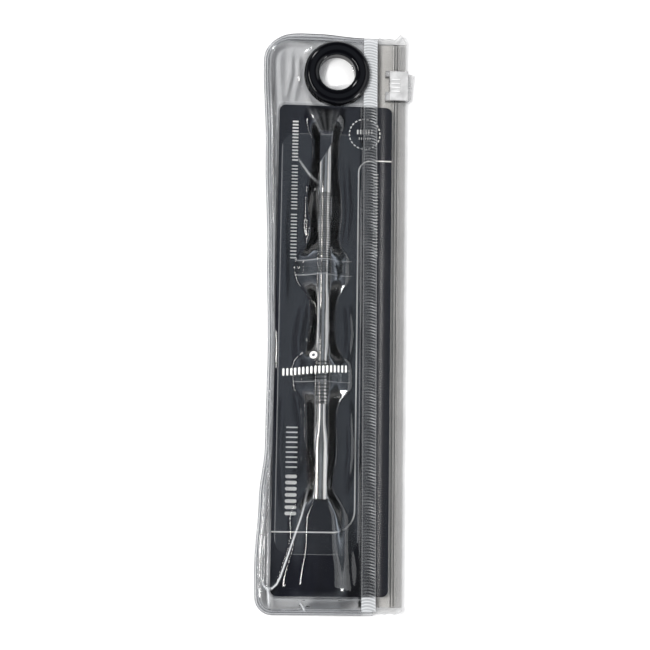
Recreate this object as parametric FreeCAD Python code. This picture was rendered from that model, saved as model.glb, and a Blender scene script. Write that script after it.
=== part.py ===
"""Cuticle pusher in its clear slider-zip pouch, lying on its back.

Row frame, millimetres: the origin is on the hanging eyelet's axis, in the plane the pouch rests on.
+X runs across the pouch towards the zip, +Y runs along it towards the eyelet, +Z is up.
Each function makes one piece; the last block writes one STEP file for each.
"""

import FreeCAD, Part
import math
import os

V = FreeCAD.Vector

# Driving dimensions ---------------------------------------------------------------------------

# Pusher
PUSHER_LENGTH = 130.0
HANDLE_DIAMETER = 5.0
HANDLE_BORE = 3.2
BLADE_LENGTH = 18.8          # tip to the joint with the handle
SPOON_LENGTH = 33.9          # joint with the handle to the spoon's end
SHANK_LENGTH = 12.0          # of each tip, inside the handle
SHANK_CLEARANCE = 0.02       # radial, filled by the bond
NECK_DIAMETER = 3.6
SPOON_WIDTH = 6.6
SPOON_THICKNESS = 0.9
SPOON_CAMBER = 1.3           # how far the middle stands above the sides
SPOON_CORNER = 1.9
BEVEL_LENGTH = 8.7           # along the handle, of the skew cut at the blade
BLADE_TIP_THICKNESS = 1.6
BLADE_FACET = 0.45           # depth of the honed facet on the skew edge
UPPER_GRIP = 30.2
LOWER_GRIP = 15.8
UPPER_GROOVE_PITCH = 0.85
LOWER_GROOVE_PITCH = 1.2
GROOVE_DEPTH = 0.22
GROOVE_WIDTH = 0.5

# Insert: card, clear backing sheet and the two straps that hold the pusher
CARD_WIDTH = 42.0
CARD_THICKNESS = 0.35
CARD_CORNER = 2.5
CARD_ABOVE_TIP = 15.0
CARD_BELOW_SPOON = 34.0
CARD_SHIFT = -0.2            # of the card's middle from the eyelet's axis
PUSHER_OFF_MIDDLE = 0.9      # of the backing sheet, towards the zip
SHEET_FROM_CARD_EDGE = 1.2
SHEET_THICKNESS = 0.15
SHEET_CORNER = 5.5
SHEET_ABOVE_TIP = 4.1
SHEET_BELOW_SPOON = 19.4
STRAP_FROM_TIP = (46.9, 85.8)
STRAP_WIDTH = 4.6
STRAP_THICKNESS = 0.12
STRAP_FOOT = 2.5
STRAP_REACH = 10.4           # from the pusher's axis to a strap's end

# Pouch films
FILM = 0.25
WELD_RIM = 1.6
TOP_CORNER = 8.0
BOTTOM_CORNER = 4.5
LEFT_MARGIN = 4.3            # card edge to pouch edge
BOTTOM_MARGIN = 6.1
TOP_MARGIN = 2.25            # eyelet to pouch edge
RIM_RAMP = 0.9
TRAY_RAMP = 3.0
TUNNEL_TOP_HALF = 2.6
TUNNEL_PAST_STRAP = 1.1      # from a strap's end to the tunnel's foot
TUNNEL_END_RAMP = 7.0

# Eyelet
EYELET_BORE = 13.4
EYELET_RING = 5.55           # width of the flange ring, bore to rim
EYELET_BARREL = 0.9
EYELET_SHOULDER = 1.2
EYELET_EDGE_HEIGHT = 3.4     # of the bore's straight wall
EYELET_CREST = 1.5           # of the domed ring above that
EYELET_SIDE = 0.35           # upright part of the rim, above the film
EYELET_SHELL = 0.9
EYELET_FIT = 0.03

# Slider zip
TAPE = 0.2
TAPE_FLANGE = 11.9           # profile centre to the flange's welded edge
WELD_STRIP = 5.0
LIP = 3.5                    # profile centre to the open edge
RIDGE_HALF = 1.3
RIDGE_HEIGHT = 0.4
JAW_HALF = 1.2
JAW_WALL = 0.45
JAW_HOOK = 0.28
JAW_HEIGHT = 0.55
HOOK_HEIGHT = 0.18
STEM_HALF = 0.32
BARB_HALF = 0.6
BARB_HEIGHT = 0.19
SLIDER_LENGTH = 11.2
SLIDER_PLATE = 0.65
SLIDER_FRONT_PLATE = 0.8
SLIDER_WALL = 0.7
SLIDER_BELOW_EYELET = 4.2    # slider's middle from the eyelet's axis
FOOT_REACH = 2.7
FOOT_LENGTHS = (2.0, 3.2)
PLOUGH_LENGTH = 6.0
TAB_REACH = 2.5
TAB_THICKNESS = 1.0
TAB_SLANT = 1.2
TAB_CORNER = 1.2
GRIP_RIBS = 4
GRIP_RIB_WIDTH = 0.7
GRIP_RIB_PITCH = 1.5
GRIP_RIB_HEIGHT = 0.4

# Clearances
LAY_GAP = 0.05               # between sheets that lie on each other
RUN_GAP = 0.1                # between pieces that slide past each other
SHEET_TO_TAPE = 0.3
CARD_TO_JAW = 0.2
CARD_TO_EYELET = 0.15
DRAW_UP = 4.0                # room kept for the pusher's travel
DRAW_DOWN = 26.0
CARD_PLAY = 3.0

# Places worked out from them -----------------------------------------------------------------

eyelet_r = EYELET_BORE / 2 + EYELET_RING
barrel_r = EYELET_BORE / 2 + EYELET_BARREL
shoulder_r = barrel_r + EYELET_SHOULDER
handle_r = HANDLE_DIAMETER / 2

card_top = -(eyelet_r + CARD_TO_EYELET)
tip_y = card_top - CARD_ABOVE_TIP
spoon_end_y = tip_y - PUSHER_LENGTH
card_bottom = spoon_end_y - CARD_BELOW_SPOON
card_left = CARD_SHIFT - CARD_WIDTH / 2
card_right = CARD_SHIFT + CARD_WIDTH / 2

profile_x = card_right + CARD_TO_JAW + JAW_HALF
tape_left = profile_x - TAPE_FLANGE
lip_right = profile_x + LIP
tunnel_base_half = STRAP_REACH + TUNNEL_PAST_STRAP
sheet_left = card_left + SHEET_FROM_CARD_EDGE
sheet_right = tape_left - SHEET_TO_TAPE
pusher_x = (sheet_left + sheet_right) / 2 + PUSHER_OFF_MIDDLE
film_right = tape_left + WELD_STRIP + 0.2
pouch_left = card_left - LEFT_MARGIN
pouch_top = eyelet_r + TOP_MARGIN
pouch_bottom = card_bottom - BOTTOM_MARGIN
tape_top = pouch_top - WELD_RIM - RIM_RAMP - LAY_GAP
tape_bottom = pouch_bottom + WELD_RIM + RIM_RAMP + LAY_GAP

# Heights, from the plane it rests on
back_tape_z = SLIDER_PLATE + RUN_GAP + RIDGE_HEIGHT
rim_z = back_tape_z - FILM
card_z = back_tape_z + TAPE + LAY_GAP
front_tape_z = card_z + CARD_THICKNESS + LAY_GAP
strip_top = front_tape_z + TAPE + FILM
rim_top = rim_z + 2 * FILM
sheet_z = card_z + CARD_THICKNESS + LAY_GAP
sheet_top = sheet_z + SHEET_THICKNESS
pusher_z = sheet_top + RUN_GAP + handle_r
strap_top = pusher_z + handle_r + RUN_GAP + STRAP_THICKNESS
tunnel_top = strap_top + RUN_GAP + FILM + 0.1
ridge_top = front_tape_z + TAPE + RIDGE_HEIGHT
slider_plate_z = ridge_top + RUN_GAP
slider_top = slider_plate_z + SLIDER_FRONT_PLATE
slider_split = (back_tape_z + TAPE + front_tape_z) / 2

FAR = 40.0                   # past every piece, for cutting shapes


# Helpers --------------------------------------------------------------------------------------

def block(x0, x1, y0, y1, z0, z1):
    return Part.makeBox(x1 - x0, y1 - y0, z1 - z0, V(x0, y0, z0))


def prism_xy(points, z0, z1):
    wire = Part.makePolygon([V(x, y, z0) for x, y in points + points[:1]])
    return Part.Face(wire).extrude(V(0, 0, z1 - z0))


def prism_xz(points, y0, y1):
    wire = Part.makePolygon([V(x, y0, z) for x, z in points + points[:1]])
    return Part.Face(wire).extrude(V(0, y1 - y0, 0))


def prism_yz(points, x0, x1):
    wire = Part.makePolygon([V(x0, y, z) for y, z in points + points[:1]])
    return Part.Face(wire).extrude(V(x1 - x0, 0, 0))


def rounded_wire(x0, x1, y0, y1, radii, z):
    """A rectangle with its own radius at each corner: bottom left, bottom right, top right, top left."""
    corners = [(x0, y0, 180), (x1, y0, 270), (x1, y1, 0), (x0, y1, 90)]
    arcs = []
    for (x, y, start), r in zip(corners, radii):
        cx = x + r if x == x0 else x - r
        cy = y + r if y == y0 else y - r
        a = math.radians(start)
        ends = [V(cx + r * math.cos(a + t), cy + r * math.sin(a + t), z) for t in
                (0, math.pi / 4, math.pi / 2)]
        arcs.append(ends)
    edges = []
    for i, ends in enumerate(arcs):
        edges.append(Part.Arc(*ends).toShape())
        edges.append(Part.makeLine(ends[2], arcs[(i + 1) % 4][0]))
    return Part.Wire(edges)


def rounded_plate(x0, x1, y0, y1, radii, z0, z1):
    return Part.Face(rounded_wire(x0, x1, y0, y1, radii, z0)).extrude(V(0, 0, z1 - z0))


def half_space(point, normal):
    """A large block on the side of the plane that its normal points to."""
    size = 2 * PUSHER_LENGTH
    made = Part.makeBox(size, size, size, V(-size / 2, -size / 2, 0))
    turn = FreeCAD.Rotation(V(0, 0, 1), normal)
    made.Placement = FreeCAD.Placement(point, turn)
    return made


def ring(points):
    """A solid of revolution about the eyelet's axis, from straight-sided (radius, height) points."""
    wire = Part.makePolygon([V(r, 0, z) for r, z in points + points[:1]])
    return Part.Face(wire).revolve(V(0, 0, 0), V(0, 0, 1), 360)


def along_pusher(radius, y0, y1):
    return Part.makeCylinder(radius, y1 - y0, V(pusher_x, y0, pusher_z), V(0, 1, 0))


# Pouch ----------------------------------------------------------------------------------------

def pouch_wire(inset, z, right=None):
    """The pouch's outline in plan, moved in by inset on its three welded sides."""
    radii = (max(BOTTOM_CORNER - inset, 0.6), 0.05, 0.05, max(TOP_CORNER - inset, 0.6))
    right = film_right if right is None else right
    return rounded_wire(pouch_left + inset, right, pouch_bottom + inset, pouch_top - inset, radii, z)


def eyelet_hole():
    return Part.makeCylinder(barrel_r + RUN_GAP, 2 * FAR, V(0, 0, -FAR))


def back_film():
    """A flat rim with a shallow tray that reaches down to the resting plane."""
    tray_top = -(eyelet_r + RUN_GAP)
    edge = WELD_RIM + RUN_GAP

    def tray_wire(inset, z):
        return rounded_wire(pouch_left + edge + inset, sheet_right - inset,
                            pouch_bottom + edge + inset, tray_top - inset,
                            (BOTTOM_CORNER,) * 4, z)

    def tray(z):
        return Part.makeLoft([tray_wire(TRAY_RAMP, z), tray_wire(0, z + rim_z)], True, True)

    rim = Part.Face(pouch_wire(0, rim_z)).extrude(V(0, 0, FILM))
    return rim.fuse(tray(0)).cut(tray(FILM)).cut(eyelet_hole()).removeSplitter()


def front_film():
    """Rim level at the weld, one step up to the zip's level, and a tunnel over the pusher."""
    rim = Part.Face(pouch_wire(0, -1, FAR)).extrude(V(0, 0, rim_top + 1))
    level = Part.makeLoft([pouch_wire(WELD_RIM, rim_top, FAR),
                           pouch_wire(WELD_RIM + RIM_RAMP, strip_top, FAR)], True, True)
    dip = Part.makeCone(shoulder_r, eyelet_r, strip_top - rim_top, V(0, 0, rim_top))
    dip = dip.fuse(Part.makeCylinder(eyelet_r, FAR, V(0, 0, strip_top)))
    high_from = tip_y + DRAW_UP + RUN_GAP
    high_to = spoon_end_y - DRAW_DOWN - CARD_PLAY - RUN_GAP

    def tunnel_wire(half, y0, y1, z):
        points = [V(pusher_x - half, y0, z), V(pusher_x + half, y0, z),
                  V(pusher_x + half, y1, z), V(pusher_x - half, y1, z)]
        return Part.makePolygon(points + points[:1])

    head_ramp = min(TUNNEL_END_RAMP, card_top - CARD_TO_EYELET - high_from)
    tunnel = Part.makeLoft(
        [tunnel_wire(tunnel_base_half, high_to - TUNNEL_END_RAMP, high_from + head_ramp, strip_top),
         tunnel_wire(TUNNEL_TOP_HALF, high_to, high_from, tunnel_top)], True, True)
    under = rim.fuse(level).cut(dip).fuse(tunnel)
    lowered = under.copy()
    lowered.translate(V(0, 0, -FILM))
    plan = Part.Face(pouch_wire(0, 0)).extrude(V(0, 0, FAR))
    return under.cut(lowered).common(plan).cut(eyelet_hole()).removeSplitter()


def arch(r0, z0, r1, z1, r2, z2):
    """Half a rounded ring's section: upright at both ends, level at the crest."""
    points, count = [], 7
    for i in range(2 * count + 1):
        t = i / count
        a = math.pi / 2 * (1 - t)
        if t <= 1:
            points.append(V(r1 - (r1 - r0) * math.sin(a), 0, z0 + (z1 - z0) * math.cos(a)))
        else:
            points.append(V(r1 + (r2 - r1) * math.sin(-a), 0, z2 + (z1 - z2) * math.cos(a)))
    curve = Part.BSplineCurve()
    curve.interpolate(points)
    return curve.toShape()


def eyelet_front():
    """Barrel, clamping shoulder and a domed ring that is hollow underneath."""
    bore_r = EYELET_BORE / 2
    low = strip_top + LAY_GAP
    side = low + EYELET_SIDE
    mid_r = (bore_r + eyelet_r) / 2
    crest = EYELET_EDGE_HEIGHT + EYELET_CREST
    rim_inner = eyelet_r - EYELET_SHELL
    dome = arch(bore_r, EYELET_EDGE_HEIGHT, mid_r, crest, eyelet_r, side)
    hollow = arch(shoulder_r, side, (shoulder_r + rim_inner) / 2, crest - 1.3 * EYELET_SHELL,
                  rim_inner, side)
    rim = [V(eyelet_r, 0, side), V(eyelet_r, 0, low), V(rim_inner, 0, low), V(rim_inner, 0, side)]
    barrel = [V(shoulder_r, 0, side), V(shoulder_r, 0, rim_top), V(barrel_r, 0, rim_top),
              V(barrel_r, 0, 0), V(bore_r, 0, 0), V(bore_r, 0, EYELET_EDGE_HEIGHT)]
    edges = [dome] + list(Part.makePolygon(rim).Edges) + [hollow]
    edges += list(Part.makePolygon(barrel).Edges)
    face = Part.Face(Part.Wire(Part.__sortEdges__(edges)))
    return face.revolve(V(0, 0, 0), V(0, 0, 1), 360)


def eyelet_back():
    """The washer that snaps on the barrel, with its outer edge eased."""
    inner = barrel_r + EYELET_FIT
    ease = rim_z / 2
    return ring([(inner, 0), (eyelet_r - ease, 0), (eyelet_r, ease), (eyelet_r, rim_z),
                 (inner, rim_z)])


# Slider zip -----------------------------------------------------------------------------------

def notched(tape):
    """Cuts the tape's flange back round the eyelet."""
    notch = Part.makeCylinder(eyelet_r + RUN_GAP, FAR, V(0, 0, -1))
    return tape.cut(notch)


def zip_back_tape():
    """Flange and lip, an outer ridge, and two hooked jaws that make the groove."""
    z, top = back_tape_z, back_tape_z + TAPE
    floor = back_tape_z
    jaw_top = floor + JAW_HEIGHT
    hook_z = jaw_top - HOOK_HEIGHT
    outer, inner, hook = JAW_HALF, JAW_HALF - JAW_WALL, JAW_HALF - JAW_WALL - JAW_HOOK
    half = [(inner, floor), (inner, hook_z), (hook, hook_z), (hook, jaw_top - 0.06),
            (hook + 0.1, jaw_top), (outer, jaw_top), (outer, top)]
    right = [(profile_x + x, y) for x, y in half] + [(lip_right, top), (lip_right, z)]
    ridge = [(profile_x + RIDGE_HALF, z), (profile_x + RIDGE_HALF - 0.15, z - RIDGE_HEIGHT),
             (profile_x - RIDGE_HALF + 0.15, z - RIDGE_HEIGHT), (profile_x - RIDGE_HALF, z)]
    left = [(tape_left, z), (tape_left, top)] + [(profile_x - x, y) for x, y in half[::-1]]
    return notched(prism_xz(right + ridge + left, tape_bottom, tape_top))


def zip_front_tape():
    """Flange and lip, an outer ridge, and the barbed rib that snaps into the groove."""
    z, top = front_tape_z, front_tape_z + TAPE
    barb_z = back_tape_z + RUN_GAP
    barb_top = barb_z + BARB_HEIGHT
    rib = [(profile_x + STEM_HALF, z), (profile_x + STEM_HALF, barb_top),
           (profile_x + BARB_HALF, barb_top), (profile_x + STEM_HALF, barb_z),
           (profile_x - STEM_HALF, barb_z), (profile_x - BARB_HALF, barb_top),
           (profile_x - STEM_HALF, barb_top), (profile_x - STEM_HALF, z)]
    ridge = [(profile_x - RIDGE_HALF, top), (profile_x - RIDGE_HALF + 0.15, ridge_top),
             (profile_x + RIDGE_HALF - 0.15, ridge_top), (profile_x + RIDGE_HALF, top)]
    outline = [(lip_right, z)] + rib + [(tape_left, z), (tape_left, top)] + ridge
    return notched(prism_xz(outline + [(lip_right, top)], tape_bottom, tape_top))


def zip_end_weld(y0, y1):
    """The fused end of both tapes, which stops the slider."""
    return block(film_right + RUN_GAP, lip_right, y0, y1, rim_z, ridge_top)


slider_y1 = -SLIDER_BELOW_EYELET + SLIDER_LENGTH / 2
slider_y0 = slider_y1 - SLIDER_LENGTH
jaw_left = profile_x - RIDGE_HALF - RUN_GAP
wall_left = lip_right + RUN_GAP
wall_right = wall_left + SLIDER_WALL


def slider_feet(z0, z1):
    """The hooks that reach behind the zip's ridge, one at each end."""
    top_foot = block(jaw_left - FOOT_REACH, jaw_left, slider_y1 - FOOT_LENGTHS[0], slider_y1, z0, z1)
    low_foot = block(jaw_left - FOOT_REACH, jaw_left, slider_y0, slider_y0 + FOOT_LENGTHS[1], z0, z1)
    return [top_foot, low_foot]


def slider_front_shell():
    """Front plate with grip ribs, the outer half of the side wall, and two feet."""
    shell = block(jaw_left - 1.2, wall_right, slider_y0, slider_y1, slider_plate_z, slider_top)
    wall = block(wall_left, wall_right, slider_y0, slider_y1, slider_split, slider_plate_z)
    feet = slider_feet(front_tape_z + TAPE + LAY_GAP, slider_top - 0.3)
    shell = shell.fuse([wall] + feet).removeSplitter()
    edges = [e for e in shell.Edges if e.BoundBox.ZMin > slider_top - 1e-3]
    shell = shell.makeFillet(0.25, edges)
    middle = (slider_y0 + slider_y1) / 2
    ribs = []
    for i in range(GRIP_RIBS):
        y = middle + (i - (GRIP_RIBS - 1) / 2) * GRIP_RIB_PITCH
        ribs.append(prism_yz([(y - GRIP_RIB_WIDTH / 2, slider_top - 0.05),
                              (y + GRIP_RIB_WIDTH / 2, slider_top - 0.05),
                              (y + GRIP_RIB_WIDTH / 4, slider_top + GRIP_RIB_HEIGHT),
                              (y - GRIP_RIB_WIDTH / 4, slider_top + GRIP_RIB_HEIGHT)],
                             jaw_left - 0.6, profile_x + RIDGE_HALF))
    return shell.fuse(ribs).removeSplitter()


def slider_back_shell():
    """Back plate with feet, the inner half of the side wall, the plough between the lips, and the tab."""
    plate = block(jaw_left - 1.2, wall_right, slider_y0, slider_y1, 0, SLIDER_PLATE)
    wall = block(wall_left, wall_right, slider_y0, slider_y1, SLIDER_PLATE, slider_split)
    feet = slider_feet(0.2, back_tape_z - LAY_GAP)
    plough_low = back_tape_z + TAPE + LAY_GAP
    plough = prism_xy([(wall_left, slider_y1), (wall_left, slider_y1 - PLOUGH_LENGTH),
                       (profile_x + JAW_HALF + RUN_GAP, slider_y1 - PLOUGH_LENGTH / 3),
                       (profile_x + JAW_HALF + RUN_GAP, slider_y1)],
                      plough_low, slider_split)
    tab_right = wall_right + TAB_REACH
    tab = prism_xy([(wall_right, slider_y0 - 0.3), (tab_right - TAB_SLANT, slider_y0 + TAB_CORNER),
                    (tab_right, slider_y1 - 1.0), (tab_right - 0.4, slider_y1 - 0.6),
                    (wall_right, slider_y1 - 0.6)], 0.2, 0.2 + TAB_THICKNESS)
    return plate.fuse([wall, plough, tab] + feet).removeSplitter()


# Insert ---------------------------------------------------------------------------------------

def insert_card():
    return rounded_plate(card_left, card_right, card_bottom, card_top, (CARD_CORNER,) * 4,
                         card_z, card_z + CARD_THICKNESS)


def holder_sheet():
    return rounded_plate(sheet_left, sheet_right, spoon_end_y - SHEET_BELOW_SPOON,
                         tip_y + SHEET_ABOVE_TIP, (SHEET_CORNER,) * 4, sheet_z, sheet_top)


def strap_side(radius, foot_x, foot_z):
    """Where a strap's sloping side leaves its foot and touches a circle about the pusher."""
    drop = pusher_z - foot_z
    reach = math.hypot(foot_x, drop)
    angle = math.atan2(-drop, foot_x) + math.acos(radius / reach)
    touch = (radius * math.cos(angle), pusher_z + radius * math.sin(angle))
    return (foot_x, foot_z), touch


def strap(from_tip):
    """A thin band: two bonded feet, two straight sides, and an arc over the handle."""
    low, high = sheet_top, sheet_top + STRAP_THICKNESS
    knee = STRAP_REACH - STRAP_FOOT
    inner_r = handle_r + RUN_GAP
    (ix, iz), (tx, tz) = strap_side(inner_r, knee, low)
    slope = math.atan2(tz - iz, ix - tx)
    knee_out = knee + STRAP_THICKNESS * math.tan(slope / 2)
    (ox, oz), (ux, uz) = strap_side(inner_r + STRAP_THICKNESS, knee_out, high)

    def at(x, z):
        return V(pusher_x + x, 0, z)

    def side(x, z, x2, z2):
        return Part.makeLine(at(x, z), at(x2, z2))

    edges = [
        side(STRAP_REACH, low, ix, iz), side(ix, iz, tx, tz),
        Part.Arc(at(tx, tz), at(0, pusher_z + inner_r), at(-tx, tz)).toShape(),
        side(-tx, tz, -ix, iz), side(-ix, iz, -STRAP_REACH, low),
        side(-STRAP_REACH, low, -STRAP_REACH, high), side(-STRAP_REACH, high, -ox, oz),
        side(-ox, oz, -ux, uz),
        Part.Arc(at(-ux, uz), at(0, pusher_z + inner_r + STRAP_THICKNESS), at(ux, uz)).toShape(),
        side(ux, uz, ox, oz), side(ox, oz, STRAP_REACH, high),
        side(STRAP_REACH, high, STRAP_REACH, low),
    ]
    band = Part.Face(Part.Wire(edges)).extrude(V(0, STRAP_WIDTH, 0))
    band.translate(V(0, tip_y - from_tip - STRAP_WIDTH / 2, 0))
    return band


# Pusher ---------------------------------------------------------------------------------------

handle_top = tip_y - BLADE_LENGTH
handle_bottom = spoon_end_y + SPOON_LENGTH


def groove_line(start, length, pitch):
    """Profile points of evenly spaced grooves, going down the handle from start."""
    count = int(length / pitch)
    points = []
    for i in range(count):
        middle = start - (i + 0.5) * pitch
        for along, depth in ((0.5, 0), (0.2, GROOVE_DEPTH), (-0.2, GROOVE_DEPTH), (-0.5, 0)):
            points.append((handle_r - depth, middle + along * GROOVE_WIDTH))
    return points


def pusher_handle():
    """A tube with ring grooves at both grips and a plain middle."""
    inner = HANDLE_BORE / 2
    line = [(inner, handle_top), (handle_r, handle_top)]
    line += groove_line(handle_top, UPPER_GRIP, UPPER_GROOVE_PITCH)
    line += groove_line(handle_bottom + LOWER_GRIP, LOWER_GRIP, LOWER_GROOVE_PITCH)
    line += [(handle_r, handle_bottom + 0.1), (handle_r - 0.2, handle_bottom), (inner, handle_bottom)]
    points = [V(pusher_x + r, y, pusher_z) for r, y in line + line[:1]]
    return Part.Face(Part.makePolygon(points)).revolve(V(pusher_x, 0, pusher_z), V(0, 1, 0), 360)


def pusher_blade_tip():
    """A round body cut on the skew, ground thin from behind, with a honed facet, and its shank."""
    body = along_pusher(handle_r, handle_top, tip_y)
    right, left = pusher_x + handle_r, pusher_x - handle_r
    skew = V(-BEVEL_LENGTH, 2 * handle_r, 0).normalize()
    edge = V(right, tip_y, pusher_z)
    body = body.cut(half_space(edge, skew))
    thin_z = pusher_z + handle_r - BLADE_TIP_THICKNESS
    grind_from = handle_top + 1.5
    grind = prism_yz([(grind_from, pusher_z - handle_r), (tip_y + 1, thin_z), (tip_y + 1, -FAR),
                      (grind_from, -FAR)], left - 1, right + 1)
    body = body.cut(grind)
    facet = V(skew.x, skew.y, 1).normalize()
    top = V(right, tip_y, pusher_z + handle_r - BLADE_FACET)
    body = body.cut(half_space(top, facet))
    shank_r = HANDLE_BORE / 2 - SHANK_CLEARANCE
    return body.fuse(along_pusher(shank_r, handle_top - SHANK_LENGTH, handle_top)).removeSplitter()


def spoon_section(y, width, thickness, camber):
    """A closed curve that goes from a circle to an arched strip, the same number of points each time."""
    count = 24
    points = []
    for i in range(count):
        a = 2 * math.pi * i / count
        across = math.cos(a)
        up = thickness / 2 * math.sin(a) + camber * (0.5 - across * across)
        points.append(V(pusher_x + width / 2 * across, y, pusher_z + up))
    curve = Part.BSplineCurve()
    curve.interpolate(points, PeriodicFlag=True)
    return Part.Wire(curve.toShape())


def pusher_spoon_tip():
    """Round neck that flattens and widens into an arched spoon, with rounded end corners."""
    stations = ((0.0, 0.0), (0.1, 0.0), (0.2, 0.03), (0.3, 0.22), (0.4, 0.55), (0.5, 0.82),
                (0.62, 0.95), (0.8, 1.0), (1.0, 1.0))
    sections = []
    for share, flat in stations:
        width = NECK_DIAMETER + (SPOON_WIDTH - NECK_DIAMETER) * flat
        thickness = NECK_DIAMETER + (SPOON_THICKNESS - NECK_DIAMETER) * flat
        sections.append(spoon_section(handle_bottom - share * SPOON_LENGTH, width, thickness,
                                      SPOON_CAMBER * flat))
    spoon = Part.makeLoft(sections, True, False)
    half = SPOON_WIDTH / 2 + 1
    corner = SPOON_CORNER + 1
    plan = rounded_plate(pusher_x - half, pusher_x + half, spoon_end_y, handle_bottom,
                         (corner, corner, 0.05, 0.05), -1, FAR)
    shank = along_pusher(HANDLE_BORE / 2 - SHANK_CLEARANCE, handle_bottom - 0.2,
                         handle_bottom + SHANK_LENGTH)
    return spoon.common(plan).fuse(shank).removeSplitter()


# Pieces ---------------------------------------------------------------------------------------

PIECES = {
    "back_film": back_film,
    "front_film": front_film,
    "eyelet_front": eyelet_front,
    "eyelet_back": eyelet_back,
    "zip_back_tape": zip_back_tape,
    "zip_front_tape": zip_front_tape,
    "zip_end_weld_top": lambda: zip_end_weld(tape_top, pouch_top),
    "zip_end_weld_bottom": lambda: zip_end_weld(pouch_bottom, tape_bottom),
    "slider_front_shell": slider_front_shell,
    "slider_back_shell": slider_back_shell,
    "insert_card": insert_card,
    "holder_sheet": holder_sheet,
    "strap_upper": lambda: strap(STRAP_FROM_TIP[0]),
    "strap_lower": lambda: strap(STRAP_FROM_TIP[1]),
    "pusher_handle": pusher_handle,
    "pusher_blade_tip": pusher_blade_tip,
    "pusher_spoon_tip": pusher_spoon_tip,
}

os.makedirs("parts", exist_ok=True)
for name, make in PIECES.items():
    shape = make()
    shape.exportStep(f"parts/{name}.step")
    box = shape.BoundBox
    print(f"{name:20s} solids {len(shape.Solids)} valid {shape.isValid()} volume {shape.Volume:9.2f}"
          f"  x {box.XMin:7.2f} {box.XMax:7.2f}  y {box.YMin:8.2f} {box.YMax:7.2f}"
          f"  z {box.ZMin:5.2f} {box.ZMax:5.2f}")
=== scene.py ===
# %% [markdown]
# # A cuticle pusher in its clear slider-zip pouch
#
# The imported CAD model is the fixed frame: every piece made here sits where the CAD piece sits, in metres,
# with the origin on the hanging eyelet's axis, +X towards the zip, +Y towards the eyelet and +Z up.
# We start by loading it and keeping its box, so that the looks can be compared with the real size at the end.

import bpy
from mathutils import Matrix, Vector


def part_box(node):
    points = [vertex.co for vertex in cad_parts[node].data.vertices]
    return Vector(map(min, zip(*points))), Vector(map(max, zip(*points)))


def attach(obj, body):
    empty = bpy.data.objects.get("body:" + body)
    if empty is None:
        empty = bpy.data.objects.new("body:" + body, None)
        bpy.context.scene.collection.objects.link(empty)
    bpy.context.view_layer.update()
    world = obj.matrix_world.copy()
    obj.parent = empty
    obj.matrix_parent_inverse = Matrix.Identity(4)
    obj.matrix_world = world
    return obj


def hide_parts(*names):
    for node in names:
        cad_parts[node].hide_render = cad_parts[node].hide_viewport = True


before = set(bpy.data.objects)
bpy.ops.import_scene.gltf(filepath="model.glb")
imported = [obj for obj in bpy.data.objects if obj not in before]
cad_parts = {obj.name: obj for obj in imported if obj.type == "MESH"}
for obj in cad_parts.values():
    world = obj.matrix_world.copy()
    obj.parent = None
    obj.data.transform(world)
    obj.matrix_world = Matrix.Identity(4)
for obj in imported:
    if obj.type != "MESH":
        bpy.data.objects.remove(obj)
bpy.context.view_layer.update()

import bmesh
import bpy
import numpy as np
from mathutils import Vector

MM = 0.001

# %% [markdown]
# ## The camera
#
# The object lies on a table and is seen from almost straight above, from a little to the left and below its
# middle. A camera needs a place, a turn and a lens. It could be told to track an object, but the turn is given here
# as small tilts about X, Y and Z, because a camera with no turn already looks straight down.

# %% Camera
camera_data = bpy.data.cameras.new("camera")
camera_data.lens, camera_data.sensor_width = 67.35, 36.0
camera_data.clip_start, camera_data.clip_end = 0.01, 20.0
camera = bpy.data.objects.new("camera", camera_data)
bpy.context.scene.collection.objects.link(camera)
camera.location = np.array([-31.41, -148.36, 439.65]) * MM
camera.rotation_euler = np.radians([6.94, -3.81, 0.88])
bpy.context.scene.camera = camera
print("camera height above the table, mm:", round(camera.location.z / MM, 1))

# %% [markdown]
# ## Table and studio light
#
# Clear film is almost invisible by itself. What we see of it is what it mirrors, so the surroundings matter as much
# as the film. Soft light comes evenly from all round for the table, and what glossy surfaces mirror is a
# grey ceiling that fades to dark towards its sides and is lighter again near the horizon. An image of a room could
# stand here, but a few named bands of grey are easier to steer. The long narrow lamp to the left draws the bright
# line along the steel, and the broad one beside it lights matt surfaces only.

# %% Sky: even light for matt surfaces, a grey ceiling for glossy ones
world = bpy.data.worlds.new("studio")
bpy.context.scene.world = world
world.use_nodes = True
sky = world.node_tree
sky.nodes.clear()


def node(tree, kind, out=None, **values):
    """Adds one shader node, sets its settings and the sockets named in values, and returns it."""
    made = tree.nodes.new("ShaderNode" + kind)
    for key, value in values.items():
        if hasattr(made, key):
            setattr(made, key, value)
        elif hasattr(value, "is_output"):
            tree.links.new(value, made.inputs[key.replace("_", " ")])
        else:
            made.inputs[key.replace("_", " ")].default_value = value
    return made


CEILING_MIDDLE = (0.03, 0.25, 0.968)
CEILING_BANDS = ((0.16, 0.42), (0.36, 0.30), (0.60, 0.03), (0.912, 0.02), (0.936, 0.12), (0.957, 0.26))
direction = node(sky, "TexCoord").outputs["Generated"]
nearness = node(sky, "VectorMath", operation="DOT_PRODUCT")
sky.links.new(direction, nearness.inputs[0])
nearness.inputs[1].default_value = CEILING_MIDDLE
ceiling = node(sky, "ValToRGB", Fac=nearness.outputs["Value"])
stops = ceiling.color_ramp
stops.elements[0].position, stops.elements[0].color = 0.0, (0.50, 0.51, 0.53, 1)
stops.elements[1].position, stops.elements[1].color = 1.0, (0.235, 0.265, 0.30, 1)
for place, shade in CEILING_BANDS:
    stop = stops.elements.new(place)
    stop.color = (shade * 0.90, shade * 1.0, shade * 1.13, 1)
seen = node(sky, "LightPath").outputs["Is Glossy Ray"]
choice = node(sky, "MixRGB", Fac=seen, Color1=(0.66, 0.66, 0.67, 1), Color2=ceiling.outputs[0])
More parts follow.
